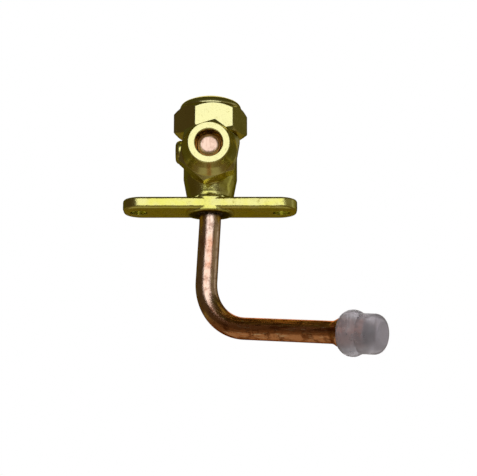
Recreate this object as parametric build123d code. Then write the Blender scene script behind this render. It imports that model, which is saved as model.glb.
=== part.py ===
from build123d import *
import math
import os

# Refrigerant service valve for a quarter-inch liquid line.
# Millimetres. The origin is the centre of the flange's underside, on the valve's own axis.
# +Z runs up to the stem cap, -Y out of the flare port, and the two flange screws lie along X.

# --- flange, boss and neck of the forged body
flange_length = 51.0
flange_depth = 14.0
flange_thickness = 3.4
flange_corner_radius = 5.5
flange_edge_radius = 0.8
screw_spacing = 42.0
screw_hole_diameter = 5.2
boss_step = 0.25
boss_drop = 0.6
neck_step = 1.0
forging_radius = 1.2
hub_blend = 0.8
side_boss_diameter = 7.0
side_boss_height = 18.4
side_boss_reach = 10.3
side_boss_edge = 1.4
machined_edge = 0.4

# --- flare port
port_height = 14.8
port_hub_inset = 0.6
port_hub_reach = 9.4
port_bore = 4.8
port_lip = 0.3
flare_thread_diameter = 11.1
flare_thread_length = 6.0
flare_thread_depth = 0.7
flare_relief_length = 1.0
flare_relief_depth = 0.1

# --- barrel and the bores down its axis
barrel_above_hub = 0.3
cap_thread_diameter = 15.6
cap_thread_depth = 0.5
cap_thread_relief = 1.0
cap_thread_relief_depth = 0.1
barrel_shoulder = 0.7
rim_chamfer = 0.4
chamber_clearance = 0.2
chamber_above_port = 2.8
seat_below_port = 5.2
seat_diameter = 4.8
seat_width = 0.6
seat_passage = 2.6
seal_bore_diameter = 9.3

# --- stem and its rings
stem_lift = 3.5
plug_diameter = 6.6
plug_height = 1.0
stem_tip_diameter = 2.8
stem_shank_diameter = 5.0
stem_thread_diameter = 8.8
stem_thread_length = 4.4
stem_thread_overlap = 0.8
stem_relief_length = 0.6
stem_relief_depth = 0.5
stem_collar = 1.1
o_ring_section = 1.22
backup_thickness = 0.7
hex_socket_flats = 4.0
hex_socket_depth = 3.2
retaining_thickness = 0.7
retaining_bite = 0.45
retaining_width = 1.0
retaining_gap_deg = 50.0
retaining_land = 0.65

# --- stem cap and its sealing ring
cap_flats = 19.0
cap_foot_gap = 0.9
cap_foot_chamfer_deg = 30.0
cap_top_chamfer_deg = 42.0
cap_dome_diameter = 18.3
cap_dome_height = 3.9
cap_dome_shoulder = 2.2
cap_roof_thickness = 3.0
cap_roof_recess = 0.8
cap_turned_deg = 7.0
cap_seal_thickness = 1.0
cap_seal_width = 1.7

# --- flare nut and the copper bonnet in it
nut_flats = 16.0
nut_rear_gap = 1.0
nut_hex_length = 6.6
nut_chamfer_circle = 15.8
nut_chamfer_deg = 30.0
nut_nose_length = 7.0
nut_nose_hollow = 0.25
nut_nose_diameter = 12.0
nut_nose_bore = 7.8
nut_mouth_chamfer = 0.2
nut_turned_deg = 20.0
bonnet_wall = 0.7
bonnet_skirt_diameter = 9.8
bonnet_cup_diameter = 7.0
bonnet_cup_length = 2.3
bonnet_end_radius = 1.7

# --- copper tube
tube_diameter = 6.35
tube_wall = 0.8
tube_lean_deg = 3.2
tube_drop = 33.7
tube_bend_radius = 14.0
tube_run = 51.3
tube_run_turn_deg = 28.0
tube_run_fall_deg = 6.0
kink_radius = 30.0
kink_below_boss = 2.2
socket_diameter = 8.2
socket_length = 8.0
socket_taper = 2.4
braze_diameter = 9.0
braze_depth = 0.9
braze_inset = 0.1
braze_fillet = 0.45
braze_sag = 0.15

# --- plastic cap on the tube's end
end_cap_diameter = 11.1
end_cap_collar_diameter = 12.9
end_cap_collar_length = 5.6
end_cap_cover = 7.4
end_cap_mouth_wall = 0.5
end_cap_mouth_flare = 0.4
end_cap_mouth_depth = 1.0
end_cap_bulge_place = 0.57
end_cap_hollow = 3.6
end_cap_hollow_diameter = 7.0
end_cap_floor = 1.3
end_cap_rim_radius = 3.0
end_cap_dimple = 0.4

# --- clearances
seat_gap = 0.05
thread_gap = 0.07
ring_gap = 0.04
braze_gap = 0.05
end_cap_gap = 0.08

# --- radii of the forging, from the cap thread outwards; the land is turned to the thread's root
thread_radius = cap_thread_diameter / 2
land_radius = thread_radius - cap_thread_depth
relief_radius = land_radius - cap_thread_relief_depth
barrel_radius = relief_radius + barrel_shoulder
hub_radius = barrel_radius - port_hub_inset
neck_radius = barrel_radius - neck_step
boss_radius = neck_radius + boss_step

# --- heights on the valve's axis
shoulder_height = port_height + hub_radius + barrel_above_hub
seat_height = port_height - seat_below_port
tube_top = seat_height - seat_passage
chamber_top = port_height + chamber_above_port
seal_bore_foot = chamber_top + stem_thread_length
head_foot = seal_bore_foot + seat_gap
groove_foot = head_foot + stem_collar
groove_top = groove_foot + o_ring_section + backup_thickness + 3 * ring_gap
head_top = groove_top + stem_collar
retaining_foot = head_top + stem_lift + seat_gap
rim_height = retaining_foot + retaining_thickness + retaining_land
thread_foot = shoulder_height + cap_thread_relief
roof_height = rim_height + cap_seal_thickness
cap_foot = shoulder_height + cap_foot_gap
cap_top = roof_height + cap_roof_thickness
dome_foot = cap_top - cap_dome_height

# --- radii shared by the stem, its rings and the barrel
chamber_radius = stem_thread_diameter / 2 + chamber_clearance
seal_bore_radius = seal_bore_diameter / 2
head_radius = seal_bore_radius - ring_gap
groove_radius = head_radius - o_ring_section - ring_gap
rim_radius = land_radius - rim_chamfer

# --- distances from the valve's axis along the flare port
thread_start = port_hub_reach + flare_relief_length
thread_end = thread_start + flare_thread_length
flare_cone = thread_end + flare_thread_diameter / 2
flare_tip = flare_cone - port_bore / 2 - port_lip
bonnet_inner_cone = flare_cone + math.sqrt(2) * seat_gap
bonnet_outer_cone = bonnet_inner_cone + math.sqrt(2) * bonnet_wall
nut_cone = bonnet_outer_cone + math.sqrt(2) * seat_gap
bonnet_tip = bonnet_outer_cone - bonnet_cup_diameter / 2 + bonnet_cup_length
nut_rear = port_hub_reach + nut_rear_gap
nut_shoulder = nut_rear + nut_hex_length
nut_face = nut_shoulder + nut_nose_length

# --- the tube's route
turn = math.radians(tube_run_turn_deg)
fall = math.radians(tube_run_fall_deg)
run_direction = Vector(
    math.cos(turn) * math.cos(fall), -math.sin(turn) * math.cos(fall), -math.sin(fall)
)
kink = Vector(0, 0, -boss_drop - kink_below_boss)
lean = math.tan(math.radians(tube_lean_deg))
corner = Vector(-(tube_drop + kink.Z) * lean, 0, -tube_drop)
socket_start = corner + run_direction * (tube_run - socket_length - socket_taper)
tube_end = corner + run_direction * tube_run

port = Pos(0, 0, port_height) * Rot(90, 0, 0)


def profile(*corners):
    """A closed outline in the plane of the axis, from corners as (radius, height, corner radius)."""
    points = [(corner[0], corner[1]) for corner in corners]
    radii = [corner[2] if len(corner) > 2 else 0 for corner in corners]
    return make_face(FilletPolyline(*points, radius=radii, close=True).edges())


def turned(outline):
    """The solid that a half outline makes when it is turned about Z."""
    return revolve(Plane.XZ * outline, Axis.Z)


def rod(radius, start, end):
    """A plain round bar or drilling on Z between two heights."""
    return Pos(0, 0, start) * Cylinder(radius, end - start, align=(Align.CENTER, Align.CENTER, Align.MIN))


def hex_corner(flats):
    """How far the corners of a hexagon lie from its centre."""
    return flats / math.sqrt(3)


def hexagon(flats, start, end, turned_deg):
    """A hexagonal bar on Z, with a corner at the given angle from X."""
    shape = RegularPolygon(hex_corner(flats), 6, rotation=turned_deg)
    return Pos(0, 0, start) * extrude(shape, end - start)


def flange():
    plan = RectangleRounded(flange_length, flange_depth, flange_corner_radius)
    plate = extrude(plan, flange_thickness)
    rims = plate.edges().filter_by(lambda e: abs(e.center().Z - flange_thickness / 2) > flange_thickness / 4)
    plate = fillet(rims, flange_edge_radius)
    for side in (-1, 1):
        plate -= Pos(side * screw_spacing / 2, 0, 0) * rod(screw_hole_diameter / 2, -1, flange_thickness + 1)
    return plate


def forging():
    """The outside of the body before its bores: boss, neck, barrel, thread land, port hub, side boss."""
    blend = 2 * forging_radius
    foot_edge = neck_radius + forging_radius
    foot_top = flange_thickness + forging_radius
    column = turned(
        profile(
            (0, -boss_drop),
            (boss_radius, -boss_drop, machined_edge),
            (boss_radius, flange_thickness),
            (neck_radius, foot_top, blend),
            (barrel_radius, port_height - hub_radius + blend, blend),
            (barrel_radius, shoulder_height, machined_edge),
            (relief_radius, shoulder_height),
            (relief_radius, thread_foot),
            (land_radius, thread_foot + cap_thread_relief_depth),
            (land_radius, rim_height - rim_chamfer),
            (rim_radius, rim_height),
            (0, rim_height),
        )
    )
    # hollow fillet from the neck out to the flange, kept off the flange's rounded rims
    foot_hollow = CenterArc((foot_edge, foot_top), forging_radius, 180, 90)
    foot_sides = Polyline(
        (neck_radius, foot_top), (0, foot_top), (0, 0), (foot_edge, 0), (foot_edge, flange_thickness)
    )
    foot = turned(make_face(foot_hollow.edges() + foot_sides.edges()))
    foot &= Box(flange_length, flange_depth - 2 * flange_edge_radius, 4 * flange_thickness)
    hub = port * turned(
        profile((0, 0), (hub_radius, 0), (hub_radius, port_hub_reach, machined_edge), (0, port_hub_reach))
    )
    blank = column + foot + hub
    seams = blank.edges().filter_by(
        lambda e: e.geom_type == GeomType.BSPLINE
        and e.center().Z > foot_top
        and e.center().Y < -machined_edge
    )
    side_boss = turned(
        profile(
            (0, 0),
            (side_boss_diameter / 2, 0),
            (side_boss_diameter / 2, side_boss_reach, side_boss_edge),
            (0, side_boss_reach),
        )
    )
    return fillet(seams, hub_blend) + Pos(0, 0, side_boss_height) * Rot(0, -90, 0) * side_boss


def valve_body():
    body = forging() + flange()
    # tube socket with its countersink, seat, stem chamber, stem thread and seal bore, from below
    socket_radius = tube_diameter / 2 + braze_gap
    body -= turned(
        profile(
            (0, -boss_drop - 1),
            (braze_diameter / 2 + 1, -boss_drop - 1),
            (braze_diameter / 2, -boss_drop),
            (socket_radius, -boss_drop + braze_depth),
            (socket_radius, tube_top),
            (seat_diameter / 2, tube_top),
            (seat_diameter / 2, seat_height - seat_width),
            (seat_diameter / 2 + seat_width, seat_height),
            (chamber_radius, seat_height),
            (chamber_radius, chamber_top),
            (stem_thread_diameter / 2 + thread_gap, chamber_top),
            (stem_thread_diameter / 2 + thread_gap, seal_bore_foot),
            (seal_bore_radius, seal_bore_foot),
            (seal_bore_radius, retaining_foot),
            (seal_bore_radius + retaining_bite, retaining_foot),
            (seal_bore_radius + retaining_bite, retaining_foot + retaining_thickness),
            (seal_bore_radius, retaining_foot + retaining_thickness),
            (seal_bore_radius, rim_height - machined_edge),
            (seal_bore_radius + machined_edge, rim_height),
            (seal_bore_radius + machined_edge, rim_height + 1),
            (0, rim_height + 1),
        )
    )
    # male flare: undercut behind the thread, thread land, cone, then the bore into the chamber
    flare_land = flare_thread_diameter / 2 - flare_thread_depth
    flare_relief = flare_land - flare_relief_depth
    body += port * turned(
        profile(
            (0, port_hub_reach - 1),
            (flare_relief, port_hub_reach - 1),
            (flare_relief, thread_start),
            (flare_land, thread_start + flare_relief_depth),
            (flare_land, flare_cone - flare_land),
            (port_bore / 2 + port_lip, flare_tip),
            (0, flare_tip),
        )
    )
    body -= port * rod(port_bore / 2, 0, flare_tip + 1)
    return body


def stem():
    """The closing spindle: coned plug on the seat, shank, thread, and a head that carries the seal."""
    plug_radius = plug_diameter / 2
    tip_radius = stem_tip_diameter / 2
    shank_radius = stem_shank_diameter / 2
    screw_radius = stem_thread_diameter / 2
    cone_foot = seat_height - seat_width - seat_diameter / 2 + math.sqrt(2) * seat_gap
    plug_top = cone_foot + plug_radius + plug_height
    screw_foot = chamber_top - stem_thread_overlap
    body = turned(
        profile(
            (0, cone_foot + tip_radius),
            (tip_radius, cone_foot + tip_radius),
            (plug_radius, cone_foot + plug_radius),
            (plug_radius, plug_top),
            (shank_radius, plug_top),
            (shank_radius, screw_foot),
            (screw_radius - stem_relief_depth, screw_foot),
            (screw_radius, screw_foot + stem_relief_depth),
            (screw_radius, head_foot - stem_relief_length - stem_relief_depth),
            (screw_radius - stem_relief_depth, head_foot - stem_relief_length),
            (screw_radius - stem_relief_depth, head_foot),
            (head_radius, head_foot),
            (head_radius, groove_foot),
            (groove_radius, groove_foot),
            (groove_radius, groove_top),
            (head_radius, groove_top),
            (head_radius, head_top, machined_edge / 2),
            (0, head_top),
        )
    )
    return body - hexagon(hex_socket_flats, head_top - hex_socket_depth, head_top + 1, 0)


def stem_o_ring():
    section = o_ring_section / 2
    middle = groove_radius + ring_gap + section
    return Pos(0, 0, groove_foot + ring_gap + section) * Torus(middle, section)


def stem_backup_ring():
    top = groove_top - ring_gap
    ring = rod(head_radius - ring_gap, top - backup_thickness, top)
    return ring - rod(groove_radius + ring_gap, top - backup_thickness - 1, top + 1)


def stem_retaining_ring():
    """An open spring ring in the barrel's top groove."""
    outer = seal_bore_radius + retaining_bite - ring_gap
    inner = outer - retaining_width
    low = retaining_foot + ring_gap
    high = retaining_foot + retaining_thickness - ring_gap
    ring = rod(outer, low, high) - rod(inner, low - 1, high + 1)
    half = math.radians(retaining_gap_deg / 2)
    reach = 2 * outer
    side, rise = reach * math.cos(half), reach * math.sin(half)
    wedge = Polyline((0, 0), (side, -rise), (side, rise), close=True)
    return ring - Pos(0, 0, low - 1) * extrude(make_face(wedge.edges()), high - low + 2)


def stem_cap():
    """Domed hexagon cap: hexagon bar, chamfered at its foot and turned to a dome on top, then bored."""
    flats = cap_flats / 2
    reach = hex_corner(cap_flats) + 1
    dome_radius = cap_dome_diameter / 2
    foot_rise = (reach - flats) * math.tan(math.radians(cap_foot_chamfer_deg))
    top_fall = (reach - dome_radius) * math.tan(math.radians(cap_top_chamfer_deg))
    # the dome is a flat crown arc that runs smoothly into a tighter shoulder arc
    inset = dome_radius - cap_dome_shoulder
    crown_radius = (dome_radius**2 + cap_dome_height**2 - 2 * dome_radius * cap_dome_shoulder) / (
        2 * (cap_dome_height - cap_dome_shoulder)
    )
    meet = math.degrees(math.atan2(crown_radius - cap_dome_height, inset))
    shoulder = CenterArc((inset, dome_foot), cap_dome_shoulder, 0, meet)
    crown = CenterArc((0, cap_top - crown_radius), crown_radius, meet, 90 - meet)
    side = Polyline(
        (0, cap_top), (0, cap_foot), (flats, cap_foot), (reach, cap_foot + foot_rise),
        (reach, dome_foot - top_fall), (dome_radius, dome_foot),
    )
    blank = turned(make_face(side.edges() + shoulder.edges() + crown.edges()))
    blank &= hexagon(cap_flats, cap_foot - 1, cap_top + 1, cap_turned_deg)
    bore = thread_radius + thread_gap
    mouth = bore + machined_edge
    return blank - turned(
        profile(
            (0, cap_foot - 1),
            (mouth, cap_foot - 1),
            (mouth, cap_foot),
            (bore, cap_foot + machined_edge),
            (bore, roof_height),
            (seal_bore_radius, roof_height),
            (seal_bore_radius - cap_roof_recess, roof_height + cap_roof_recess),
            (0, roof_height + cap_roof_recess),
        )
    )


def cap_seal():
    hole = rod(rim_radius - cap_seal_width, rim_height - 1, roof_height + 1)
    return rod(rim_radius, rim_height, roof_height) - hole


def flare_nut():
    """Forged nut: chamfered hexagon, tapered nose, thread bore, 45 degree cone and nose bore."""
    circle = nut_chamfer_circle / 2
    reach = hex_corner(nut_flats) + 1
    chamfer = (reach - circle) * math.tan(math.radians(nut_chamfer_deg))
    nose = nut_nose_diameter / 2
    nose_bore = nut_nose_bore / 2
    thread_bore = flare_thread_diameter / 2 + thread_gap
    waist = (nose + circle) / 2 - nut_nose_hollow
    blank = turned(
        profile(
            (0, nut_rear),
            (circle, nut_rear),
            (reach, nut_rear + chamfer),
            (reach, nut_shoulder - chamfer),
            (circle, nut_shoulder),
            (waist, nut_shoulder + nut_nose_length / 2, nut_nose_length),
            (nose, nut_face - machined_edge),
            (nose - machined_edge / 2, nut_face),
            (0, nut_face),
        )
    )
    blank &= hexagon(nut_flats, nut_rear - 1, nut_face + 1, nut_turned_deg)
    mouth = nose_bore + nut_mouth_chamfer
    blank -= turned(
        profile(
            (0, nut_rear - 1),
            (thread_bore + machined_edge, nut_rear - 1),
            (thread_bore + machined_edge, nut_rear),
            (thread_bore, nut_rear + machined_edge),
            (thread_bore, nut_cone - thread_bore),
            (nose_bore, nut_cone - nose_bore),
            (nose_bore, nut_face - nut_mouth_chamfer),
            (mouth, nut_face),
            (mouth, nut_face + 1),
            (0, nut_face + 1),
        )
    )
    return port * blank


def flare_bonnet():
    """Drawn copper cup with a 45 degree skirt that seals on the flare."""
    skirt = bonnet_skirt_diameter / 2
    cup = bonnet_cup_diameter / 2
    inside = cup - bonnet_wall
    return port * turned(
        profile(
            (skirt, bonnet_inner_cone - skirt),
            (skirt, bonnet_outer_cone - skirt),
            (cup, bonnet_outer_cone - cup),
            (cup, bonnet_tip, bonnet_end_radius),
            (0, bonnet_tip),
            (0, bonnet_tip - bonnet_wall),
            (inside, bonnet_tip - bonnet_wall, bonnet_end_radius - bonnet_wall),
            (inside, bonnet_inner_cone - inside),
        )
    )


def along_run(point):
    """The place of a piece that is turned about the tube's last run."""
    return Plane(origin=point, z_dir=run_direction).location


def copper_tube():
    """One tube, bent once, with a socket widened at its free end."""
    outer = tube_diameter / 2
    inner = outer - tube_wall
    socket = socket_diameter / 2
    mouth = socket - tube_wall
    route = FilletPolyline(
        (0, 0, tube_top), tuple(kink), tuple(corner), tuple(socket_start),
        radius=[kink_radius, tube_bend_radius],
    )
    start = Pos(0, 0, tube_top)
    tube = sweep(start * Circle(outer), path=route) - sweep(start * Circle(inner), path=route)
    length = socket_taper + socket_length
    return tube + along_run(socket_start) * turned(
        profile(
            (inner, 0),
            (outer, 0),
            (socket, socket_taper),
            (socket, length),
            (mouth, length),
            (mouth, socket_taper),
        )
    )


def braze_ring():
    """The braze metal that fills the countersink round the tube, with a small fillet below it."""
    tube = tube_diameter / 2
    slope = (braze_diameter / 2 - tube - braze_gap) / braze_depth
    low = -boss_drop - braze_fillet
    high = -boss_drop + braze_depth - braze_inset
    edge = -boss_drop + braze_inset / 2
    rim = braze_diameter / 2 - slope * braze_inset
    inner = tube + slope * braze_inset / 2
    hollow = ThreePointArc((tube, low), ((tube + rim) / 2 - braze_sag, edge - braze_sag), (rim, edge))
    sides = Polyline((rim, edge), (inner, high), (tube, high), (tube, low))
    return turned(make_face(hollow.edges() + sides.edges()))


def tube_end_cap():
    """Moulded plastic cap: bulged collar, plain body with a rounded end, stepped bore."""
    body = end_cap_diameter / 2
    collar = end_cap_collar_diameter / 2
    bore = socket_diameter / 2 + end_cap_gap
    mouth = bore + end_cap_mouth_flare
    mouth_edge = mouth + end_cap_mouth_wall
    top = end_cap_hollow + end_cap_floor
    collar_end = end_cap_collar_length - end_cap_cover
    bulge = ThreePointArc(
        (mouth_edge, -end_cap_cover),
        (collar, -end_cap_cover + end_cap_collar_length * end_cap_bulge_place),
        (body, collar_end),
    )
    rim = profile(
        (0, collar_end),
        (body, collar_end),
        (body, top, end_cap_rim_radius),
        (0, top),
    )
    skirt = Polyline((body, collar_end), (0, collar_end), (0, -end_cap_cover), (mouth_edge, -end_cap_cover))
    solid = turned(rim) + turned(make_face(bulge.edges() + skirt.edges()))
    solid -= turned(
        profile(
            (0, -end_cap_cover - 1),
            (mouth, -end_cap_cover - 1),
            (mouth, -end_cap_cover),
            (bore, -end_cap_cover + end_cap_mouth_depth),
            (bore, end_cap_gap),
            (end_cap_hollow_diameter / 2, end_cap_gap),
            (end_cap_hollow_diameter / 2, end_cap_hollow, end_cap_dimple),
            (0, end_cap_hollow),
        )
    )
    return along_run(tube_end) * solid


pieces = {
    "valve_body": valve_body,
    "stem": stem,
    "stem_o_ring": stem_o_ring,
    "stem_backup_ring": stem_backup_ring,
    "stem_retaining_ring": stem_retaining_ring,
    "stem_cap": stem_cap,
    "cap_seal": cap_seal,
    "flare_nut": flare_nut,
    "flare_bonnet": flare_bonnet,
    "copper_tube": copper_tube,
    "braze_ring": braze_ring,
    "tube_end_cap": tube_end_cap,
}

os.makedirs("parts", exist_ok=True)
for name, make in pieces.items():
    export_step(make(), f"parts/{name}.step")
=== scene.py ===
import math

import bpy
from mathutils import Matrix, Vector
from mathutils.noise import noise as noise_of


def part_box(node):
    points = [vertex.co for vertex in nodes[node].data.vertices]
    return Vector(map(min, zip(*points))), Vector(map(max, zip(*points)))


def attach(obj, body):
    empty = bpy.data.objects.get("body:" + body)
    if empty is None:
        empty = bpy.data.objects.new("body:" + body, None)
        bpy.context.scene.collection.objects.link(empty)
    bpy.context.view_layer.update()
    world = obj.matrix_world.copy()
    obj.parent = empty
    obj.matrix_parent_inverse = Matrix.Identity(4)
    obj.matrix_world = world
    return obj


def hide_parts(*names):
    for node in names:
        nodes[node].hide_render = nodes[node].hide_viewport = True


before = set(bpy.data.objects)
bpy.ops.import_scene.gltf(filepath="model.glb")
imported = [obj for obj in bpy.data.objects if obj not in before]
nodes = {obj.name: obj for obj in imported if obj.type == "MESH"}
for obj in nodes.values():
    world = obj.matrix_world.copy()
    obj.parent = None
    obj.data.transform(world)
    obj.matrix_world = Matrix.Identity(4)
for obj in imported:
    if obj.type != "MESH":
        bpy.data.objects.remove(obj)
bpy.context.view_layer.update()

# %% [markdown]
# # A brass service valve for a refrigerant line
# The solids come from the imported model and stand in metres: +Z runs up to the domed stem cap,
# -Y out of the flare port, and the origin is the middle of the flange's underside. This lesson
# dresses them. It keeps each solid that has the right shape and paints it, and it builds only what
# a plain solid can't show: the cut threads, the drawn tube and the ragged braze. Sizes are written
# in millimetres, as on a drawing, and are turned into metres where they are used.

MM = 0.001

# %% [markdown]
# ## Small tools for node trees
# Every finish below is a tree of nodes, and so is every thread and tube. A tree can be wired by
# hand, but that takes three or four lines a node and hides the recipe. One helper adds a node and
# fills its sockets by name, a second links or sets one socket, and a third does arithmetic.

# %% Nodes, links and arithmetic
def add(tree, kind, **values):
    """A node of that kind. A lower-case name is a setting, any other a socket, with _ for a space."""
    node = tree.nodes.new(kind)
    waiting = {}
    for name, value in values.items():
        if name.islower():
            setattr(node, name, value)
        else:
            waiting[name.replace("_", " ")] = value
    for name, value in waiting.items():
        plug(tree, node.inputs[name], value)
    return node


def plug(tree, socket, value):
    """Links another node's output to a socket, or writes a plain value on it."""
    if isinstance(value, bpy.types.NodeSocket):
        tree.links.new(value, socket)
    else:
        socket.default_value = value


def calc(tree, operation, *values, clamp=False):
    """One step of arithmetic on sockets or plain numbers."""
    node = tree.nodes.new("ShaderNodeMath")
    node.operation = operation
    node.use_clamp = clamp
    for socket, value in zip(node.inputs, values):
        plug(tree, socket, value)
    return node.outputs[0]


print("helpers for nodes, links and arithmetic ready")

# %% [markdown]
# ## Colours and grains
# Real metal is never one colour, and its stains have soft borders. A painted image could show them,
# but it would need unwrapping and would blur close up. Noise does neither, so each finish is one
# colour with others laid over it, wherever a noise rises from one value to another.

# %% Ramps, layers and grains
MIX_AMOUNT, MIX_FIRST, MIX_SECOND, MIX_COLOUR = 0, 6, 7, 2  # by number, because their names repeat


def mixed(tree, amount, first, second):
    """Two colours mixed by an amount from 0 to 1."""
    node = tree.nodes.new("ShaderNodeMix")
    node.data_type = "RGBA"
    for index, value in ((MIX_AMOUNT, amount), (MIX_FIRST, first), (MIX_SECOND, second)):
        if isinstance(value, tuple):
            value = (*value, 1.0)
        plug(tree, node.inputs[index], value)
    return node.outputs[MIX_COLOUR]


def ramp(tree, value, low, high, start=0.0, end=1.0):
    """A value carried from the span low-high to the span start-end, smoothly and no further."""
    return add(
        tree, "ShaderNodeMapRange", interpolation_type="SMOOTHSTEP",
        Value=value, From_Min=low, From_Max=high, To_Min=start, To_Max=end,
    ).outputs["Result"]


def layered(tree, colour, over, grains, low, high, share=1.0):
    """A colour with another laid over it where the grains rise from low to high, up to that share."""
    return mixed(tree, ramp(tree, grains, low, high, end=share), colour, over)


def noise(tree, where, size, detail, stretch=(1, 1, 1), roughness=0.55):
    """Noise with grains of about that many millimetres, longer along an axis where stretch is under 1."""
    placed = add(tree, "ShaderNodeMapping", Vector=where, Scale=stretch).outputs[0]
    return add(
        tree, "ShaderNodeTexNoise", Vector=placed, Scale=1 / (size * MM), Detail=detail, Roughness=roughness
    ).outputs[0]


print("helpers for colours and grains ready")

# %% [markdown]
# ## Places, edges and bumps
# A lathe leaves rings, so a turned face is painted by its distance from the lathe's axis and not by
# plain coordinates. Handling rubs the edges bright. Both could be modelled, but they are far finer
# than the solid's own facets, so the shader rounds the edges and raises the bumps instead.

# %% Finishes, places and relief
def finish(name):
    """An empty finish: the material, its tree and the shader that all the layers end in."""
    material = bpy.data.materials.new(name)
    material.use_nodes = True
    tree = material.node_tree
    return material, tree, tree.nodes["Principled BSDF"]


def end_in(tree, shader, colour, rough, normal, metallic):
    """Ends the layers of a finish in its shader."""
    plug(tree, shader.inputs["Base Color"], colour)
    plug(tree, shader.inputs["Roughness"], rough)
    plug(tree, shader.inputs["Normal"], normal)
    shader.inputs["Metallic"].default_value = metallic


def own_place(tree):
    """Where a point lies on the piece, in metres."""
    return add(tree, "ShaderNodeTexCoord").outputs["Object"]


def around_axis(tree, place, centre, axis):
    """A turned piece seen as its lathe saw it: distance from the axis, then distance along it."""
    from_centre = add(tree, "ShaderNodeVectorMath", operation="SUBTRACT")
    plug(tree, from_centre.inputs[0], place)
    from_centre.inputs[1].default_value = centre
    parts = add(tree, "ShaderNodeSeparateXYZ", Vector=from_centre.outputs[0]).outputs
    across = [part for index, part in enumerate(parts) if index != axis]
    squares = [calc(tree, "MULTIPLY", part, part) for part in across]
    radius = calc(tree, "SQRT", calc(tree, "ADD", *squares))
    return add(tree, "ShaderNodeCombineXYZ", X=radius, Y=parts[axis]).outputs[0]


def rounded(tree, radius):
    """The surface's normal, rounded over a sharp edge by that many millimetres."""
    return add(tree, "ShaderNodeBevel", samples=6, Radius=radius * MM).outputs[0]


def worn_edge(tree, radius, share):
    """How near a point is to an edge: that share on it, 0 a little way off."""
    unturned, turned = 0.995, 0.90
    true = add(tree, "ShaderNodeNewGeometry").outputs["Normal"]
    likeness = add(tree, "ShaderNodeVectorMath", operation="DOT_PRODUCT")
    plug(tree, likeness.inputs[0], rounded(tree, radius))
    plug(tree, likeness.inputs[1], true)
    return ramp(tree, likeness.outputs["Value"], low=unturned, high=turned, end=share)


def relief(tree, normal, *layers):
    """A normal with bumps on it. Each layer is its grains and its height in millimetres."""
    for grains, height in layers:
        node = add(tree, "ShaderNodeBump", Height=grains, Strength=1.0, Distance=height * MM)
        if normal is not None:
            plug(tree, node.inputs["Normal"], normal)
        normal = node.outputs[0]
    return normal


print("helpers for places and relief ready")

# %% [markdown]
# ## Brass, forged and machined
# The body is forged hot and then tumbled, so its skin is satin and gently uneven. The stem cap is
# turned from hexagon bar and the nut is a forging machined nearly all over: their flats are bright,
# and the lathe leaves fine rings. Separate finishes would drift apart in colour, and all of it is
# one yellow metal with a green cast, so one recipe makes them all. It takes the share of forging
# skin, the roughness of the cleanest metal, the lathe's axis, and whether to turn the metal near-black
# round the brazed joint, partly for burnt flux and partly as painted shade of the hollow round the tube.

# %% The brass recipe
BRASS_SKIN = (0.74, 0.72, 0.17)
BRASS_CUT = (0.82, 0.80, 0.42)
BRASS_STAIN = (0.36, 0.29, 0.04)
# The near-black below is partly burnt flux and partly painted shade in the hollow round the tube's joint.
BRASS_BURNT_AND_SHADE = (0.03, 0.02, 0.008)
BRASS_EDGE = (1.0, 0.85, 0.3, 1.0)
AXIS_Y, AXIS_Z = 1, 2
darkened_from, darkened_until, darkened_border = 5.6, 7.3, 0.5
under_flange, above_foot = -0.1, 0.5


def scorched_and_shaded(tree, lathe, grains):
    """Burnt flux and painted shade round the tube's joint: 1 by the tube and under the flange, 0 away from
    it.
    """
    radius, height = add(tree, "ShaderNodeSeparateXYZ", Vector=lathe).outputs[:2]
    ragged = ramp(tree, grains, low=0.3, high=0.7, start=-darkened_border * MM, end=darkened_border * MM)
    near = ramp(tree, calc(tree, "ADD", radius, ragged), low=darkened_until * MM, high=darkened_from * MM)
    below = ramp(tree, height, low=above_foot * MM, high=under_flange * MM)
    return calc(tree, "MULTIPLY", near, below)


def brass(name, forged, roughness, centre=(0, 0, 0), axis=AXIS_Z, brazed_and_shaded=False):
    """Brass whose share of forging skin runs from 0, all turned, to 1, as it left the die."""
    material, tree, shader = finish(name)
    place = own_place(tree)
    lathe = around_axis(tree, place, centre, axis)
    clouds = noise(tree, place, size=5.0, detail=4.0)
    specks = noise(tree, place, size=0.35, detail=2.0)
    blots = noise(tree, place, size=1.6, detail=5.0, roughness=0.7)
    rings = noise(tree, lathe, size=0.16, detail=2.0)
    skin = noise(tree, place, size=0.7, detail=4.0)
    waves = noise(tree, place, size=3.2, detail=1.0)

    bare = tuple(cut + (skin_tone - cut) * forged for cut, skin_tone in zip(BRASS_CUT, BRASS_SKIN))
    colour = layered(tree, bare, BRASS_CUT, clouds, low=0.35, high=0.65, share=0.5)
    colour = layered(tree, colour, BRASS_STAIN, blots, low=0.56, high=0.72, share=0.25 + 0.35 * forged)
    colour = layered(tree, colour, BRASS_STAIN, specks, low=0.62, high=0.72, share=0.5)
    colour = mixed(tree, worn_edge(tree, radius=0.3, share=0.5), colour, BRASS_CUT)

    dullest = roughness + 0.05 + 0.03 * forged
    rough = ramp(tree, clouds, low=0.3, high=0.7, start=roughness, end=dullest)
    rough = calc(tree, "ADD", rough, ramp(tree, specks, low=0.5, high=0.75, end=0.1))
    # Round the tube's joint under the flange the colour turns near-black: partly burnt flux, partly painted
    # shade of the hollow there.
    if brazed_and_shaded:
        heat_and_shade = scorched_and_shaded(tree, lathe, skin)
        colour = mixed(tree, heat_and_shade, colour, BRASS_BURNT_AND_SHADE)
        rough = calc(tree, "MULTIPLY_ADD", heat_and_shade, 0.3, rough)

    normal = relief(
        tree, rounded(tree, radius=0.18),
        (waves, 0.26 * forged), (skin, 0.03 * forged + 0.004),
        (rings, 0.006 * (1 - forged) + 0.001), (specks, 0.006),
    )
    shader.inputs["Specular Tint"].default_value = BRASS_EDGE
    end_in(tree, shader, colour, rough, normal, metallic=1.0)
    return material


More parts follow.
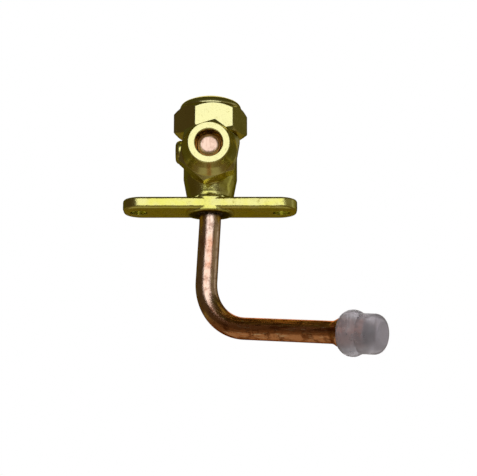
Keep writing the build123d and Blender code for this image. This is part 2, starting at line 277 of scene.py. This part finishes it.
port_height = 14.8
port_centre = Vector((0, 0, port_height * MM))
forged_brass = brass("forged_brass", forged=1.0, roughness=0.17, brazed_and_shaded=True)
cap_brass = brass("cap_brass", forged=0.1, roughness=0.17)
nut_brass = brass("nut_brass", forged=0.12, roughness=0.18, centre=port_centre, axis=AXIS_Y)
stem_brass = brass("stem_brass", forged=0.0, roughness=0.17)
print("brass finishes:", forged_brass.name, cap_brass.name, nut_brass.name, stem_brass.name)

# %% [markdown]
# ## Copper, drawn and tarnished
# Soft copper tube leaves the drawing die with fine lines along it, and it tarnishes from pink to
# brown. Along the tube it runs from pale near the body to browner and more blotted further out,
# partly tarnish and partly a painted fade of the highlight towards the bend. Its own coordinates
# would draw those lines straight through the bend, so on the tube the finish reads two attributes
# that the sweep leaves there: the place around the tube and the distance along it. The bonnet is a
# short straight cup, and its own coordinates are enough.

# %% The copper recipe
COPPER = (0.82, 0.33, 0.16)
COPPER_BROWN = (0.26, 0.085, 0.03)
COPPER_PALE = (0.95, 0.74, 0.62)
COPPER_EDGE = (1.0, 0.5, 0.25, 1.0)
tube_radius = 6.35 / 2
browner_from, browner_fully = 30.0, 46.0


def place_on_tube(tree, along):
    """Where a point would lie if the tube were straight, in metres."""
    ring = add(tree, "ShaderNodeAttribute", attribute_name="ring").outputs["Vector"]
    across = add(tree, "ShaderNodeSeparateXYZ", Vector=ring).outputs
    width, depth = (calc(tree, "MULTIPLY", part, tube_radius * MM) for part in across[:2])
    return add(tree, "ShaderNodeCombineXYZ", X=width, Y=depth, Z=along).outputs[0]


def copper(name, along_tube, roughness, tarnish=1.0, pale=1.0):
    """Copper with so much tarnish and so much of it pale, whose lines run along the tube or along Z."""
    material, tree, shader = finish(name)
    if along_tube:
        along = add(tree, "ShaderNodeAttribute", attribute_name="along").outputs["Fac"]
        place = place_on_tube(tree, along)
    else:
        place = own_place(tree)
    clouds = noise(tree, place, size=6.0, detail=5.0, stretch=(1, 1, 0.5))
    lines = noise(tree, place, size=0.22, detail=2.0, stretch=(1, 1, 0.02))
    streaks = noise(tree, place, size=0.9, detail=4.0, stretch=(1, 1, 0.12), roughness=0.7)
    scratches = noise(tree, place, size=0.3, detail=3.0, stretch=(1, 1, 0.09))
    blots = noise(tree, place, size=2.4, detail=6.0, roughness=0.75)

    colour = layered(tree, COPPER, COPPER_PALE, clouds, low=0.2, high=0.5, share=pale)
    tarnish_and_fade = 1.0
    # From 30 to 46 mm along the tube the copper turns from pale to brown and more blotted: partly tarnish,
    # partly a painted fade of the tube's highlight towards the bend.
    if along_tube:
        fade_start, fade_end = browner_from * MM, browner_fully * MM
        colour = layered(tree, colour, COPPER, along, low=fade_start, high=fade_end, share=0.85)
        tarnish_and_fade = ramp(tree, along, low=fade_start, high=fade_end, start=0.5)
    blotted = calc(tree, "MULTIPLY", tarnish_and_fade, 0.9 * tarnish)
    streaked = calc(tree, "MULTIPLY", tarnish_and_fade, 0.8 * tarnish)
    colour = layered(tree, colour, COPPER_BROWN, blots, low=0.48, high=0.62, share=blotted)
    colour = layered(tree, colour, COPPER_BROWN, streaks, low=0.50, high=0.62, share=streaked)
    colour = layered(tree, colour, COPPER_PALE, scratches, low=0.60, high=0.66, share=0.8)

    rough = ramp(tree, blots, low=0.4, high=0.7, start=roughness, end=roughness + 0.14 * tarnish)
    normal = relief(tree, None, (lines, 0.008), (scratches, 0.008), (streaks, 0.04), (blots, 0.05))
    shader.inputs["Specular Tint"].default_value = COPPER_EDGE
    end_in(tree, shader, colour, rough, normal, metallic=1.0)
    return material


tube_copper = copper("tube_copper", along_tube=True, roughness=0.17)
bonnet_copper = copper("bonnet_copper", along_tube=False, roughness=0.3, tarnish=0.3, pale=0.85)
print("copper finishes:", tube_copper.name, bonnet_copper.name)

# %% [markdown]
# ## Braze, plastic, rubber and spring steel
# Braze metal sets with a rough, sooty skin. Here it is made near-black, which is partly that skin and
# partly painted shade of the hollow round the tube where the bead sits. The end cap is soft moulded
# plastic that lets some light through, so the end of the tube shows in it as a shadow. The seals and
# the spring ring lie under the stem cap. Each could have a recipe of its own, but they are small,
# plain or hidden, so one recipe with a single grain serves them all, and the end cap alone is made
# to pass light.

# %% The small finishes
def plain_finish(name, pale, dark, roughness, grain, height, metallic=0.0):
    """A finish with one grain: two tones, a roughness that varies and bumps of that many millimetres."""
    material, tree, shader = finish(name)
    place = own_place(tree)
    grains = noise(tree, place, size=grain, detail=5.0, roughness=0.65)
    clouds = noise(tree, place, size=grain * 6, detail=3.0)
    colour = layered(tree, dark, pale, grains, low=0.35, high=0.7)
    colour = layered(tree, colour, pale, clouds, low=0.4, high=0.7, share=0.4)
    rough = ramp(tree, clouds, low=0.3, high=0.7, start=roughness, end=roughness + 0.15)
    end_in(tree, shader, colour, rough, relief(tree, None, (grains, height)), metallic)
    return material


# The braze is near-black: partly its sooty skin, partly painted shade of the hollow it sits in.
braze_metal = plain_finish(
    "braze_metal", pale=(0.14, 0.09, 0.045), dark=(0.02, 0.014, 0.01),
    roughness=0.42, grain=0.5, height=0.05, metallic=0.8,
)
seal_rubber = plain_finish(
    "seal_rubber", pale=(0.05, 0.05, 0.05), dark=(0.02, 0.02, 0.02),
    roughness=0.35, grain=0.3, height=0.004,
)
seal_plastic = plain_finish(
    "seal_plastic", pale=(0.82, 0.81, 0.76), dark=(0.7, 0.69, 0.63),
    roughness=0.4, grain=0.4, height=0.004,
)
spring_steel = plain_finish(
    "spring_steel", pale=(0.5, 0.5, 0.5), dark=(0.3, 0.3, 0.31),
    roughness=0.28, grain=0.3, height=0.004, metallic=1.0,
)
cap_plastic = plain_finish(
    "cap_plastic", pale=(0.64, 0.60, 0.63), dark=(0.54, 0.50, 0.53),
    roughness=0.26, grain=0.5, height=0.004,
)
cap_shader = cap_plastic.node_tree.nodes["Principled BSDF"]
cap_shader.inputs["Transmission Weight"].default_value = 0.8
cap_shader.inputs["IOR"].default_value = 1.45
small_finishes = (braze_metal, seal_rubber, seal_plastic, spring_steel, cap_plastic)
print("small finishes:", *(material.name for material in small_finishes))

# %% [markdown]
# ## Paint the solids
# Ten of the twelve solids are shown as they are. They could be built again as meshes, but they are
# exact already, so they keep their meshes and only get a finish, by writing the material into their
# slots. The tube and the braze take the place of the other two further down.

# %% Finishes onto solids
finishes = {
    "valve_body": forged_brass,
    "stem_cap": cap_brass,
    "flare_nut": nut_brass,
    "stem": stem_brass,
    "flare_bonnet": bonnet_copper,
    "tube_end_cap": cap_plastic,
    "stem_o_ring": seal_rubber,
    "stem_backup_ring": seal_plastic,
    "cap_seal": seal_plastic,
    "stem_retaining_ring": spring_steel,
}
for name, material in finishes.items():
    for slot in nodes[name].material_slots:
        slot.material = material
print("painted", len(finishes), "solids")

# %% [markdown]
# ## Small tools for shapes
# A shape that follows a rule is written as a tree of geometry nodes with named inputs, and one
# that doesn't is given as corners and faces. Either could stay live in the scene, but a plain mesh
# is what another program reads, so a tree is run once and only its result is kept.

# %% Tree and mesh helpers
FLOAT, WHOLE, METAL = "NodeSocketFloat", "NodeSocketInt", "NodeSocketMaterial"
sharp_over = math.radians(35)


def new_tree(name, inputs):
    """An empty tree of geometry nodes with these named inputs, as (name, kind) pairs."""
    tree = bpy.data.node_groups.new(name, "GeometryNodeTree")
    tree.interface.new_socket("Geometry", in_out="INPUT", socket_type="NodeSocketGeometry")
    for label, kind in inputs:
        tree.interface.new_socket(label, in_out="INPUT", socket_type=kind)
    tree.interface.new_socket("Geometry", in_out="OUTPUT", socket_type="NodeSocketGeometry")
    return tree, tree.nodes.new("NodeGroupInput").outputs


def close_tree(tree, shape, material):
    """Realizes what the tree made, gives it its material and sends it out."""
    real = add(tree, "GeometryNodeRealizeInstances", Geometry=shape).outputs[0]
    dressed = add(tree, "GeometryNodeSetMaterial", Geometry=real, Material=material).outputs[0]
    last = tree.nodes.new("NodeGroupOutput")
    tree.links.new(dressed, last.inputs[0])


def in_scene(name, data):
    """A new object with that data, linked into the scene."""
    thing = bpy.data.objects.new(name, data)
    bpy.context.scene.collection.objects.link(thing)
    return thing


def evaluated_mesh(thing):
    """A plain mesh of an object as its modifiers make it."""
    return bpy.data.meshes.new_from_object(thing.evaluated_get(bpy.context.evaluated_depsgraph_get()))


def made_by(tree, name, data, values):
    """Runs a tree on some data with these values by input name, and returns a plain mesh object."""
    source = in_scene(name + "_source", data)
    modifier = source.modifiers.new("rule", "NODES")
    modifier.node_group = tree
    for item in tree.interface.items_tree:
        if item.in_out == "INPUT" and item.name in values:
            modifier[item.identifier] = values[item.name]
    source.update_tag()
    bpy.context.view_layer.update()
    mesh = evaluated_mesh(source)
    bpy.data.objects.remove(source)
    mesh.name = name
    return in_scene(name, mesh)


def built(name, corners, faces, material):
    """A mesh object from its corners, in metres, and its faces."""
    mesh = bpy.data.meshes.new(name)
    mesh.from_pydata(corners, [], faces)
    mesh.materials.append(material)
    return in_scene(name, mesh)


def smoothed(mesh):
    """Shades a mesh smooth, apart from its sharp edges."""
    mesh.polygons.foreach_set("use_smooth", [True] * len(mesh.polygons))
    mesh.set_sharp_from_angle(angle=sharp_over)


print("shape helpers ready")

# %% [markdown]
# ## A tree of geometry nodes for any thread
# A thread is one ridge that climbs a helix. A bump could fake it, but not its jagged outline, which
# shows once the cap is lifted. It is a rule and not a drawing: a spiral curve, a trapezium swept
# along it, and a fade at both ends where the cutter ran in and out. One tree with its sizes as
# named inputs cuts both threads.

# %% The thread's tree
foot_share, crest_share = 0.86, 0.16  # the ridge's widths, as shares of the pitch
thinnest = 0.02  # how much of the ridge is left at its very ends

thread_tree, given = new_tree("cut_thread", [
    ("Root radius", FLOAT), ("Depth", FLOAT), ("Pitch", FLOAT), ("Turns", FLOAT),
    ("Steps a turn", WHOLE), ("Run-out turns", FLOAT), ("Metal", METAL),
])
helix = add(
    thread_tree, "GeometryNodeCurveSpiral",
    Resolution=given["Steps a turn"], Rotations=given["Turns"],
    Start_Radius=given["Root radius"], End_Radius=given["Root radius"],
    Height=calc(thread_tree, "MULTIPLY", given["Pitch"], given["Turns"]),
).outputs[0]
helix = add(thread_tree, "GeometryNodeSetCurveNormal", mode="Z_UP", Curve=helix).outputs[0]

factor = add(thread_tree, "GeometryNodeSplineParameter").outputs["Factor"]
turns_in = calc(thread_tree, "MULTIPLY", factor, given["Turns"])
turns_left = calc(thread_tree, "SUBTRACT", given["Turns"], turns_in)
nearest_end = calc(thread_tree, "MINIMUM", turns_in, turns_left)
fade = calc(thread_tree, "DIVIDE", nearest_end, given["Run-out turns"], clamp=True)
fade = calc(thread_tree, "MAXIMUM", fade, thinnest)

ridge = add(
    thread_tree, "GeometryNodeCurvePrimitiveQuadrilateral", mode="TRAPEZOID",
    Bottom_Width=calc(thread_tree, "MULTIPLY", given["Pitch"], foot_share),
    Top_Width=calc(thread_tree, "MULTIPLY", given["Pitch"], crest_share),
    Height=given["Depth"], Offset=0.0,
).outputs[0]
half_depth = calc(thread_tree, "MULTIPLY", given["Depth"], 0.5)
foot_on_helix = add(thread_tree, "ShaderNodeCombineXYZ", Y=half_depth).outputs[0]
outwards = (0, 0, math.pi / 2)
ridge = add(thread_tree, "GeometryNodeTransform", Geometry=ridge, Translation=foot_on_helix).outputs[0]
ridge = add(thread_tree, "GeometryNodeTransform", Geometry=ridge, Rotation=outwards).outputs[0]
swept = add(
    thread_tree, "GeometryNodeCurveToMesh", Curve=helix, Profile_Curve=ridge, Scale=fade, Fill_Caps=True
)
close_tree(thread_tree, swept.outputs[0], given["Metal"])
print("thread tree has", len(thread_tree.nodes), "nodes")

# %% [markdown]
# ## Cut the two male threads
# One thread on the barrel holds the stem cap, and the other on the flare port holds the nut. The
# solids are turned down to the thread's root, so the ridge fits between the root and the bore of
# the cap or the nut. It could be cut out of the body instead, but that would change an exact solid.
# The helix is made upright at the origin, then the mesh itself is carried to its place, and it
# rides on the valve because the cap and the nut turn on it.

# %% Threads on the barrel and on the flare
barrel_size = {"crest": 15.6 / 2, "depth": 0.5, "pitch": 1.0}
flare_size = {"crest": 11.1 / 2, "depth": 0.7, "pitch": 1.27}
barrel_start, end_below_rim = 24.0, 0.8
flare_start, flare_length = 10.9, 5.4
sunk = 0.02  # how deep the ridge's foot lies in the metal, so that no gap shows


def cut_thread(name, size, start, length, place, metal):
    """A thread of that size, from a start along the upright axis that place carries to the part."""
    piece = made_by(thread_tree, name, bpy.data.meshes.new(name + "_start"), {
        "Root radius": (size["crest"] - size["depth"] - sunk) * MM,
        "Depth": size["depth"] * MM,
        "Pitch": size["pitch"] * MM,
        "Turns": length / size["pitch"],
        "Steps a turn": 64,
        "Run-out turns": 0.3,
        "Metal": metal,
    })
    piece.data.transform(place @ Matrix.Translation((0, 0, start * MM)))
    smoothed(piece.data)
    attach(piece, "valve")
    print(name, len(piece.data.polygons), "faces")
    return piece


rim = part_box("valve_body")[1].z / MM
barrel_length = rim - end_below_rim - barrel_start
barrel_axis = Matrix()
flare_axis = Matrix.Translation(port_centre) @ Matrix.Rotation(math.pi / 2, 4, "X")
barrel_thread = cut_thread(
    "barrel_thread", barrel_size, barrel_start, barrel_length, barrel_axis, forged_brass
)
port_thread = cut_thread("port_thread", flare_size, flare_start, flare_length, flare_axis, nut_brass)

# %% [markdown]
# ## A tree of geometry nodes for the tube
# The tube is one length of soft copper, bent over a former and widened at its free end on a punch.
# The solid has the same shape, but its facets carry nothing that a finish could follow round the
# bend. So the tube is swept again by rule: a route with rounded corners, a circle carried along it,
# and a radius that grows near the end. The tree also writes where each point lies around and along
# the tube, which the copper finish reads.

# %% The tube's tree
kink_point, bend_point, exactly = 1.0, 2.0, 0.1  # the route's inner points by number, and how near counts

tube_tree, given = new_tree("swept_tube", [
    ("Kink radius", FLOAT), ("Bend radius", FLOAT), ("Radius", FLOAT), ("Socket radius", FLOAT),
    ("Socket length", FLOAT), ("Taper", FLOAT), ("Step", FLOAT), ("Sides", WHOLE), ("Metal", METAL),
])
index = add(tube_tree, "GeometryNodeInputIndex").outputs[0]
is_kink = calc(tube_tree, "COMPARE", index, kink_point, exactly)
is_bend = calc(tube_tree, "COMPARE", index, bend_point, exactly)
corner_radius = calc(
    tube_tree, "ADD",
    calc(tube_tree, "MULTIPLY", is_kink, given["Kink radius"]),
    calc(tube_tree, "MULTIPLY", is_bend, given["Bend radius"]),
)
route = add(
    tube_tree, "GeometryNodeFilletCurve", mode="POLY",
    Curve=given["Geometry"], Radius=corner_radius, Count=40,
).outputs[0]
route = add(
    tube_tree, "GeometryNodeResampleCurve", mode="LENGTH", Curve=route, Length=given["Step"]
).outputs[0]

along = add(tube_tree, "GeometryNodeSplineParameter").outputs["Length"]
whole = add(tube_tree, "GeometryNodeSplineLength").outputs["Length"]
left = calc(tube_tree, "SUBTRACT", whole, along)
widens_from = calc(tube_tree, "ADD", given["Socket length"], given["Taper"])
widened = ramp(
    tube_tree, left, low=widens_from, high=given["Socket length"],
    start=given["Radius"], end=given["Socket radius"],
)
route = add(
    tube_tree, "GeometryNodeStoreNamedAttribute", data_type="FLOAT", domain="POINT",
    Geometry=route, Name="along", Value=along,
).outputs[0]

circle = add(tube_tree, "GeometryNodeCurvePrimitiveCircle", Resolution=given["Sides"], Radius=1.0).outputs[0]
circle = add(
    tube_tree, "GeometryNodeStoreNamedAttribute", data_type="FLOAT_VECTOR", domain="POINT",
    Geometry=circle, Name="ring", Value=add(tube_tree, "GeometryNodeInputPosition").outputs[0],
).outputs[0]
skin = add(tube_tree, "GeometryNodeCurveToMesh", Curve=route, Profile_Curve=circle, Scale=widened).outputs[0]
close_tree(tube_tree, skin, given["Metal"])
print("tube tree has", len(tube_tree.nodes), "nodes")

# %% [markdown]
# ## Sweep the copper tube
# The tube leaves the body upright, leans a little to one side just below it, and then turns into a
# long run that falls slightly towards its open end. Only four points and two radii set that route.
# The sweep gives a skin with no thickness. A second, narrower sweep could make the bore, but its
# ends would have to be joined up, so a Solidify modifier adds the wall on the inner side.

# %% The tube itself
tube_wall = 0.8
socket_radius = 8.2 / 2
socket_length = 8.0
socket_taper = 2.4
kink_radius = 30.0
bend_radius = 14.0
kink_depth = 2.8
corner_depth = 33.7
run_length = 51.3
lean = math.radians(3.2)
swing = math.radians(28.0)
fall = math.radians(6.0)

run = Vector((math.cos(swing) * math.cos(fall), -math.sin(swing) * math.cos(fall), -math.sin(fall)))
tube_top = Vector((0, 0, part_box("copper_tube")[1].z / MM))
kink = Vector((0, 0, -kink_depth))
bend = Vector((-(corner_depth - kink_depth) * math.tan(lean), 0, -corner_depth))
tube_end = bend + run * run_length

route_data = bpy.data.curves.new("tube_route", "CURVE")
route_data.dimensions = "3D"
route_points = (tube_top, kink, bend, tube_end)
spline = route_data.splines.new("POLY")
spline.points.add(len(route_points) - 1)
for point, spot in zip(spline.points, route_points):
    point.co = (*(spot * MM), 1.0)
tube = made_by(tube_tree, "drawn_tube", route_data, {
    "Kink radius": kink_radius * MM, "Bend radius": bend_radius * MM, "Radius": tube_radius * MM,
    "Socket radius": socket_radius * MM, "Socket length": socket_length * MM, "Taper": socket_taper * MM,
    "Step": 0.5 * MM, "Sides": 64, "Metal": tube_copper,
})
wall = tube.modifiers.new("wall", "SOLIDIFY")
wall.thickness = tube_wall * MM
wall.offset = -1.0
tube.data = evaluated_mesh(tube)
tube.modifiers.clear()
smoothed(tube.data)
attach(tube, "valve")
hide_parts("copper_tube")
print("tube ends at, mm:", [round(value, 2) for value in tube_end])
print("drawn_tube", len(tube.data.polygons), "faces; attributes", [a.name for a in tube.data.attributes])

# %% [markdown]
# ## Run the braze
# The tube is held by braze metal that was melted into its joint and froze there as a ring with a
# hollow face. The solid gives its place and size. A circle swept round the tube could make a ring,
# but this one has a foot that hides in the body and a lip that lies on the tube, so it is turned
# from an outline. Metal that flowed is never even, so its points are then pushed about by noise.

# %% The bead's outline
braze_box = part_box("braze_ring")
braze_low, braze_high = braze_box[0].z / MM, braze_box[1].z / MM
braze_reach = (braze_box[1].x - braze_box[0].x) / 2 / MM
in_tube = 0.1  # how far the bead lies inside the tube's skin, so that no gap shows
hollow_radius, hollow_drop = 1.6, 0.55
hollow_start, hollow_step, hollow_points = 165, 10, 8  # first angle and step in degrees, and how many

outline = [(tube_radius - in_tube, braze_high), (tube_radius - in_tube, braze_low - in_tube)]
for step in range(hollow_points):
    angle = math.radians(hollow_start - hollow_step * step)
    radius = braze_reach + hollow_radius * math.cos(angle)
    height = braze_low - hollow_drop + hollow_radius * math.sin(angle)
    outline.append((min(max(radius, tube_radius), braze_reach), height))
outline.append((braze_reach, braze_high))
print("bead outline:", len(outline), "points from", round(braze_low, 2), "to", round(braze_high, 2), "mm")

# %% The braze
waver = 0.22
bead_grain = 1.1
braze_sides = 72

corners = []
faces = []
for side in range(braze_sides):
    angle = 2 * math.pi * side / braze_sides
    here, there = side * len(outline), (side + 1) % braze_sides * len(outline)
    for step, (radius, height) in enumerate(outline):
        point = Vector((radius * math.cos(angle), radius * math.sin(angle), height))
        in_body = step in (0, len(outline) - 1)
        if not in_body:
            push = noise_of(point / bead_grain) * waver
            point.x *= 1 + push / radius
            point.y *= 1 + push / radius
            point.z = max(point.z + push, braze_low)
        corners.append(point * MM)
        after = (step + 1) % len(outline)
        faces.append((here + step, there + step, there + after, here + after))
braze_bead = built("braze_bead", corners, faces, braze_metal)
smoothed(braze_bead.data)
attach(braze_bead, "valve")
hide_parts("braze_ring")
print("braze_bead", len(faces), "faces")

# %% [markdown]
# ## Floor and tent
# A shiny part shows what stands round it. In a bare white room its turned-away faces would be as
# bright as the rest, so a tent of dim dyed cloth stands round the valve for the metal to mirror.
# Black cards would do it too, but they would leave the metal grey. The cloth is kept out of what
# the camera, the soft light and the shadows see, and under it lies a plain pale floor.

# %% The floor
floor_height = -0.25
floor_half = 3.0
floor_glow = 0.45


def stage_piece(name, corners, faces, material):
    """A piece of the room, which isn't part of the valve."""
    piece = built(name, corners, faces, material)
    return piece


floor_paint, floor_tree, floor_shader = finish("floor_paint")
floor_shader.inputs["Base Color"].default_value = (0.9, 0.9, 0.9, 1.0)
floor_shader.inputs["Roughness"].default_value = 0.9
floor_shader.inputs["Emission Color"].default_value = (1.0, 1.0, 1.0, 1.0)
seen_directly = add(floor_tree, "ShaderNodeLightPath").outputs["Is Camera Ray"]
glowing = calc(floor_tree, "MULTIPLY", seen_directly, floor_glow)
plug(floor_tree, floor_shader.inputs["Emission Strength"], glowing)
floor_corners = [
    (across * floor_half, deep * floor_half, floor_height)
    for across, deep in ((-1, -1), (1, -1), (1, 1), (-1, 1))
]
stage_piece("floor", floor_corners, [(0, 1, 2, 3)], floor_paint)
print("floor at", floor_height, "m")

# %% The tent
OLIVE_DYE = (1.0, 0.86, 0.2)
AMBER_DYE = (1.0, 0.66, 0.26)
PALE_DYE = (1.0, 0.86, 0.5)
cloth_sides = 48


def glow(name, colour, strength):
    """A material that only gives light."""
    material = bpy.data.materials.new(name)
    material.use_nodes = True
    tree = material.node_tree
    tree.nodes.clear()
    light = add(tree, "ShaderNodeEmission", Color=(*colour, 1.0), Strength=strength)
    last = tree.nodes.new("ShaderNodeOutputMaterial")
    tree.links.new(light.outputs[0], last.inputs[0])
    return material


def tent_cloth(name, dye, strength, low, high, start=0.0, stop=360.0):
    """A band of dim cloth between two rings, each as (radius, height), from one azimuth to another."""
    angles = [math.radians(start + (stop - start) * k / cloth_sides) for k in range(cloth_sides + 1)]
    corners = [
        (radius * math.sin(angle), -radius * math.cos(angle), height)
        for radius, height in (low, high) for angle in angles
    ]
    row = cloth_sides + 1
    faces = [(k, k + 1, row + k + 1, row + k) for k in range(cloth_sides)]
    cloth = stage_piece(name, corners, faces, glow(name + "_dye", dye, strength))
    cloth.visible_camera = False
    cloth.visible_diffuse = False
    cloth.visible_transmission = False
    cloth.visible_shadow = False


tent_radius, tent_top, tent_foot = 1.4, 1.0, floor_height + 0.01
hub, near_radius, mid_radius = 0.001, 0.26, 0.85
front_edge, right_edge, back_edge = 42, 128, 245  # where three of the walls end, as azimuths in degrees
wall_low, wall_high = (tent_radius, floor_height), (tent_radius, tent_top)
foot_hub, foot_near, foot_mid, foot_rim = (
    (radius, tent_foot) for radius in (hub, near_radius, mid_radius, tent_radius)
)
tent_cloth("tent_front", AMBER_DYE, 0.06, wall_low, wall_high, -front_edge, front_edge)
tent_cloth("tent_right", PALE_DYE, 0.2, wall_low, wall_high, front_edge, right_edge)
tent_cloth("tent_back", OLIVE_DYE, 0.07, wall_low, wall_high, right_edge, back_edge)
tent_cloth("tent_left", AMBER_DYE, 0.06, wall_low, wall_high, back_edge, 360 - front_edge)
tent_cloth("tent_roof", OLIVE_DYE, 0.06, wall_high, (hub, tent_top))
tent_cloth("foot_near", PALE_DYE, 0.32, foot_hub, foot_near)
tent_cloth("foot_mid", AMBER_DYE, 0.12, foot_near, foot_mid)
tent_cloth("foot_front", AMBER_DYE, 0.07, foot_mid, foot_rim, -90, 90)
tent_cloth("foot_back", OLIVE_DYE, 0.18, foot_mid, foot_rim, 90, 270)
print("tent of radius", tent_radius, "m ready")

# %% [markdown]
# ## World and lamps
# The room is plain and white, and it lights the valve softly from all round. The camera and the
# clear plastic see it at full white, and so would the metal without the tent, while as a light it
# has less than half that strength. A broad soft box stands behind the camera and makes every face
# that looks forward bright. A smaller one behind the valve and a weak strip at its right keep those
# sides from going dark. One hard lamp would be simpler, but metal under it is black with a few sparks.

# %% The world and the lamps
room_light, room_white = 0.45, 1.0

world = bpy.data.worlds.new("white_room")
bpy.context.scene.world = world
world.use_nodes = True
world_tree = world.node_tree
rays = add(world_tree, "ShaderNodeLightPath").outputs
seen = calc(world_tree, "MAXIMUM", rays["Is Camera Ray"], rays["Is Glossy Ray"])
seen = calc(world_tree, "MAXIMUM", seen, rays["Is Transmission Ray"])
background = world_tree.nodes["Background"]
background.inputs["Color"].default_value = (1.0, 1.0, 1.0, 1.0)
strength = ramp(world_tree, seen, low=0.0, high=1.0, start=room_light, end=room_white)
plug(world_tree, background.inputs["Strength"], strength)


def lamp(name, azimuth, elevation, distance, width, height, brightness):
    """A soft box of that surface brightness that faces the valve from an azimuth, 0 on the camera's side."""
    data = bpy.data.lights.new(name, "AREA")
    data.shape = "RECTANGLE"
    data.size = width
    data.size_y = height
    data.energy = brightness * math.pi * width * height
    box = in_scene(name, data)
    angle, rise = math.radians(azimuth), math.radians(elevation)
    way = Vector((math.sin(angle) * math.cos(rise), -math.cos(angle) * math.cos(rise), math.sin(rise)))
    box.location = way * distance
    box.rotation_euler = way.to_track_quat("Z", "Y").to_euler()
    box.visible_camera = False


lamp("front_box", azimuth=2, elevation=17, distance=1.1, width=1.5, height=0.76, brightness=1.2)
lamp("back_box", azimuth=180, elevation=32, distance=1.1, width=0.5, height=0.45, brightness=0.9)
lamp("right_strip", azimuth=98, elevation=5, distance=1.0, width=0.25, height=0.9, brightness=0.2)

# %% [markdown]
# ## Camera
# The camera looks at the valve from in front of its flare port and a little below, so that the
# flange's underside and the mouth of the nut show. A longer lens from further off would flatten the
# port, which points at the camera, so it stands fairly near.

# %% The camera
view_rise = math.radians(12.0)
view_distance = 0.4
aim = Vector((8.31, 0, -7.47)) * MM

camera_data = bpy.data.cameras.new("camera")
camera_data.sensor_width = 36.0
camera_data.lens = 103.25
camera = in_scene("camera", camera_data)
camera.location = aim - Vector((0, math.cos(view_rise), math.sin(view_rise))) * view_distance
camera.rotation_euler = (math.pi / 2 + view_rise, 0, 0)
bpy.context.scene.camera = camera
bpy.context.scene.view_settings.view_transform = "Standard"
print("camera at", [round(value, 4) for value in camera.location])
